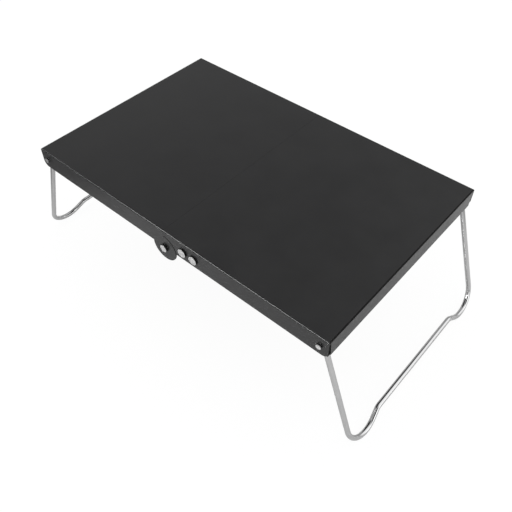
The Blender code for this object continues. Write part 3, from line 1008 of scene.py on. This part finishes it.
# The dome's rings, as swell and share of bright face. The side of the head below them is painted shade.
DOME = ((0.96, 0.3), (0.88, 1.0), (0.75, 1.0), (0.55, 1.0), (0.3, 1.0), (0.05, 1.0))
head_seat = half_width + SEAT_GAP
drop = leg_points[1].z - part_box("right_leg")[0].z - WIRE_RADIUS
splay = math.acos(drop / FOOT_REACH)


def head_points():
    """(across, down, swell, share of bright face against painted shade) along a headed end, from the flange
    outwards.
    """
    points = [
        (head_seat - HEAD_STEP, 0.0, 1.0, 1.0),
        (head_seat, 0.0, HEAD_SWELL - EASE_SWELL, 0.0),
        (head_seat + HEAD_EASE, 0.0, HEAD_SWELL, 0.0),
        (head_seat + HEAD_HEIGHT * HEAD_SIDE, 0.0, HEAD_SWELL, 0.0),
    ]
    for swell, wear_and_painted_shade in DOME:
        height = HEAD_HEIGHT * (1.0 - DOME_SHARE * swell * swell)
        points.append((head_seat + height, 0.0, HEAD_SWELL * swell, wear_and_painted_shade))
    return points


def half_leg():
    """(across, down, swell, share of bright face against painted shade) from the middle of the ground run to the
    headed end.
    """
    side_y = flange_inside - SIDE_GAP - WIRE_RADIUS
    foot = (side_y - FOOT_RADIUS, FOOT_REACH - FOOT_RADIUS)
    run_depth = FOOT_REACH - RUN_RISE
    foot_top = foot[1] + FOOT_RADIUS * math.cos(RISE_ANGLE)
    foot_inner = foot[0] - FOOT_RADIUS * math.sin(RISE_ANGLE)
    slope = (foot_top - run_depth - RUN_BEND * (1 - math.cos(RISE_ANGLE))) / math.tan(RISE_ANGLE)
    run_centre = (foot_inner - slope - RUN_BEND * math.sin(RISE_ANGLE), run_depth + RUN_BEND)
    down = math.pi / 2
    path = [(run_centre[0] * k, run_depth) for k in (0.0, 0.25, 0.5, 0.75)]
    path += arc(run_centre, RUN_BEND, -down, -down + RISE_ANGLE, 10)
    path += arc(foot, FOOT_RADIUS, down + RISE_ANGLE, 0.0, 40)
    path += [(side_y, foot[1] + (PIVOT_BEND - foot[1]) * k) for k in (0.25, 0.5, 0.75)]
    path += arc((side_y + PIVOT_BEND, PIVOT_BEND), PIVOT_BEND, math.pi, math.pi * 1.5, 14)
    return [(across, depth, 1.0, 1.0) for across, depth in path] + head_points()


print("splay", round(math.degrees(splay), 2), "degrees;", len(half_leg()), "points in half a leg")

# %% [markdown]
# The second half of the path is the first one mirrored. After the sweep the heads get the rivets' finish,
# because the same tool made them, with its painted shade on the side of each head.

# %% Legs
def make_leg(name, side):
    half = half_leg()
    path = [(-y, *rest) for y, *rest in reversed(half[1:])] + half
    pivot = leg_points[side]
    points = [(pivot.x + side * s * math.sin(splay), y, pivot.z - s * math.cos(splay)) for y, s, _, _ in path]
    mesh = bpy.data.meshes.new(name)
    mesh.from_pydata(points, [(n, n + 1) for n in range(len(points) - 1)], [])
    # The last column is the share of bright face, which is low where the head's side is painted shade.
    for column, attribute in ((2, "swell"), (3, "wear_and_painted_shade")):
        values = mesh.attributes.new(attribute, "FLOAT", "POINT")
        for entry, point in zip(values.data, path):
            entry.value = point[column]
    leg = bpy.data.objects.new(name, mesh)
    bpy.context.scene.collection.objects.link(leg)
    modifier = leg.modifiers.new("wire", "NODES")
    modifier.node_group = sweep_wire
    set_inputs(modifier, Sides=WIRE_SIDES, Finish=wire_finish, **{"Wire radius": WIRE_RADIUS})
    settle(leg)
    leg.data.materials.append(rivet_finish)
    form = bmesh.new()
    form.from_mesh(leg.data)
    bmesh.ops.recalc_face_normals(form, faces=form.faces)
    for face in form.faces:
        face.material_index = 1 if abs(face.calc_center_median().y) > head_seat else 0
    form.to_mesh(leg.data)
    form.free()
    return smooth(leg, 40)


legs = {side: make_leg(name, side) for name, side in (("left_wire_leg", -1), ("right_wire_leg", 1))}
for leg in legs.values():
    print(leg.name, len(leg.data.polygons), "faces")

# %% [markdown]
# ## Riding on the bodies
# Every piece is tied to the CAD body that carries it, so that it moves with the hinges, and names the CAD
# nodes it stands for, which are hidden. The masters and cutters have done their work and are removed.

# %% Tie the pieces to the bodies
def stand_for(piece, body, slot, *replaced):
    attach(piece, body)
    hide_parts(*replaced)
    print(piece.name, "rides on", body, "in place of", *replaced)


stand_for(trays[-1], "left_body", "black_powder_coat", "left_panel")
stand_for(trays[1], "right_body", "black_powder_coat", "right_panel")
for place, plate in plates.items():
    stand_for(plate, "right_body", "dark_hinge_steel", f"{place}_hinge_leaf")
stand_for(leaf_rivets, "right_body", "bright_rivet_steel", *(node for node, _ in leaf_rivet_names))
stand_for(pivot_rivets, "left_body", "bright_rivet_steel", "front_pivot_rivet", "rear_pivot_rivet")
stand_for(pivot_washers, "left_body", "bright_rivet_steel", "front_pivot_washer", "rear_pivot_washer")
stand_for(legs[-1], "left_leg_body", "polished_leg_wire", "left_leg")
stand_for(legs[1], "right_leg_body", "polished_leg_wire", "right_leg")
for scrap in list(SCRATCH.objects):
    bpy.data.objects.remove(scrap, do_unlink=True)
bpy.data.collections.remove(SCRATCH)

# %% [markdown]
# ## Floor
# The photograph is a studio shot on white. A wide pale floor lights the underside and takes a faint shadow.
# Through Light Path the camera sees it nine tenths as plain white, which costs no extra light on the table,
# and one tenth as a lit floor, which keeps the shadow. To all other rays its colour is a painted pool of light
# round the table that falls off to dark. A painted shade in it, at the front left, is mirrored in that end of the
# front flange, which is darker in the photograph too.

# %% Floor
FLOOR_SIDE = 8.0
TABLE_MIDDLE = (0.0, 0.0, 0.0)
PAINTED_POOL_EDGE, PAINTED_POOL_LEVELS = (0.45, 0.80), (0.92, 0.15)
PAINTED_SHADE_MIDDLE = (-0.30, -0.26, 0.0)
PAINTED_SHADE_EDGE, PAINTED_SHADE_LEVELS = (0.06, 0.17), (0.15, 1.0)
FLOOR_GREY = 0.9
WHITE_SHARE, WHITE_LEVEL = 0.9, 1.03


def distance_ramp(tree, spot, middle, edge, levels):
    """A level that changes with the distance from a point: from the first to the second across the edge."""
    distance = add_node(tree, "ShaderNodeVectorMath", {0: spot, 1: middle}, operation="DISTANCE")
    return ramp(tree, distance.outputs["Value"], *edge, *levels)


def floor_paint():
    material = bpy.data.materials.new("white_floor")
    material.use_nodes = True
    tree = material.node_tree
    tree.nodes.clear()
    by_camera = add_node(tree, "ShaderNodeLightPath").outputs["Is Camera Ray"]
    spot = place_in_object(tree)
    # To other rays the colour is a painted pool of light round the table, with a painted shade at the front left.
    painted_light_pool = distance_ramp(tree, spot, TABLE_MIDDLE, PAINTED_POOL_EDGE, PAINTED_POOL_LEVELS)
    painted_shade = distance_ramp(tree, spot, PAINTED_SHADE_MIDDLE, PAINTED_SHADE_EDGE, PAINTED_SHADE_LEVELS)
    grey = blend(tree, by_camera, calculate(tree, "MULTIPLY", painted_light_pool, painted_shade), FLOOR_GREY)
    matt = add_node(tree, "ShaderNodeBsdfDiffuse", {"Color": grey})
    white = add_node(tree, "ShaderNodeEmission", {"Color": (1.0, 1.0, 1.0, 1.0), "Strength": WHITE_LEVEL})
    share = calculate(tree, "MULTIPLY", by_camera, WHITE_SHARE)
    seen = add_node(tree, "ShaderNodeMixShader", {0: share, 1: matt.outputs[0], 2: white.outputs[0]})
    add_node(tree, "ShaderNodeOutputMaterial", {"Surface": seen.outputs[0]})
    return material


floor_form = bmesh.new()
bmesh.ops.create_grid(floor_form, x_segments=1, y_segments=1, size=FLOOR_SIDE / 2)
floor = object_from(floor_form, "floor")
floor.data.materials.append(floor_paint())
print("floor", tuple(round(v, 2) for v in floor.dimensions))

# %% [markdown]
# ## Light and surroundings
# The black coat shows little of its own colour, so its look is what it mirrors. To metal and coat the room
# is grey, with soft patches that are lighter or darker: a large lamp high behind on the right draws the bright
# lines along the wire on the ground, and dark patches give the wire its dark ones. A strip lamp at the front
# is mirrored as the thin bright line along the front bend. All other rays see an even white room.

# %% Room
ROOM_LEVEL = 0.58
PATCHES = {
    "high behind": ((-0.20, 0.75, 0.62), 10, 40, 0.47),
    "lamp high behind on the right": ((0.50, 0.55, 0.67), 15, 45, 1.6),
    "lamp low on the right, rear": ((0.92, 0.30, 0.25), 10, 22, 2.2),
    "lamp low on the right, front": ((0.93, -0.19, 0.31), 9, 20, 3.0),
    "dark round the camera": ((0.64, -0.41, 0.65), 16, 28, 0.02),
    "dark low at the front left": ((-0.55, -0.80, 0.12), 18, 34, 0.04),
    "dark high on the left": ((-0.62, -0.08, 0.78), 8, 20, 0.10),
    "dark overhead": ((-0.33, -0.13, 0.93), 8, 20, 0.10),
}
STRIP_NORMAL = (0.0, 0.5, 0.866)
STRIP_WIDTH = (0.10, 0.26)
STRIP_AIM, STRIP_LENGTH = (-0.36, -0.80, 0.46), (8, 22)
STRIP_LEVEL = 28.0
world = bpy.data.worlds.new("studio")
bpy.context.scene.world = world
world.use_nodes = True
room = world.node_tree
room.nodes.clear()
direction = add_node(room, "ShaderNodeTexCoord").outputs["Generated"]


def fall(value, low, high):
    """0 below low and 1 above high, with a smooth rise between."""
    step = {"Value": value, "From Min": low, "From Max": high, "To Min": 0.0, "To Max": 1.0}
    return add_node(room, "ShaderNodeMapRange", step, interpolation_type="SMOOTHSTEP").outputs["Result"]


def towards(aim):
    """The cosine of the angle between the mirrored direction and another one."""
    product = add_node(room, "ShaderNodeVectorMath", {0: direction, 1: aim}, operation="DOT_PRODUCT")
    return product.outputs["Value"]


def patch(aim, inner, outer):
    """1 within the inner angle of a direction, falling smoothly to 0 at the outer one."""
    low, high = (math.cos(math.radians(degrees)) for degrees in (outer, inner))
    return fall(towards(Vector(aim).normalized()), low, high)


level = ROOM_LEVEL
for aim, inner, outer, value in PATCHES.values():
    level = blend(room, patch(aim, inner, outer), level, value)
off_strip = calculate(room, "ABSOLUTE", towards(STRIP_NORMAL))
narrow = calculate(room, "SUBTRACT", 1.0, fall(off_strip, *STRIP_WIDTH))
strip = calculate(room, "MULTIPLY", narrow, patch(STRIP_AIM, *STRIP_LENGTH))
level = blend(room, strip, level, STRIP_LEVEL)
mirrored = add_node(room, "ShaderNodeLightPath").outputs["Is Glossy Ray"]
strength = blend(room, mirrored, 1.0, level)
background = add_node(room, "ShaderNodeBackground", {"Color": (1.0, 1.0, 1.0, 1.0), "Strength": strength})
add_node(room, "ShaderNodeOutputWorld", {"Surface": background.outputs[0]})
bpy.context.scene.view_settings.view_transform = "Standard"
print(len(PATCHES), "patches and a strip lamp in", len(room.nodes), "nodes")
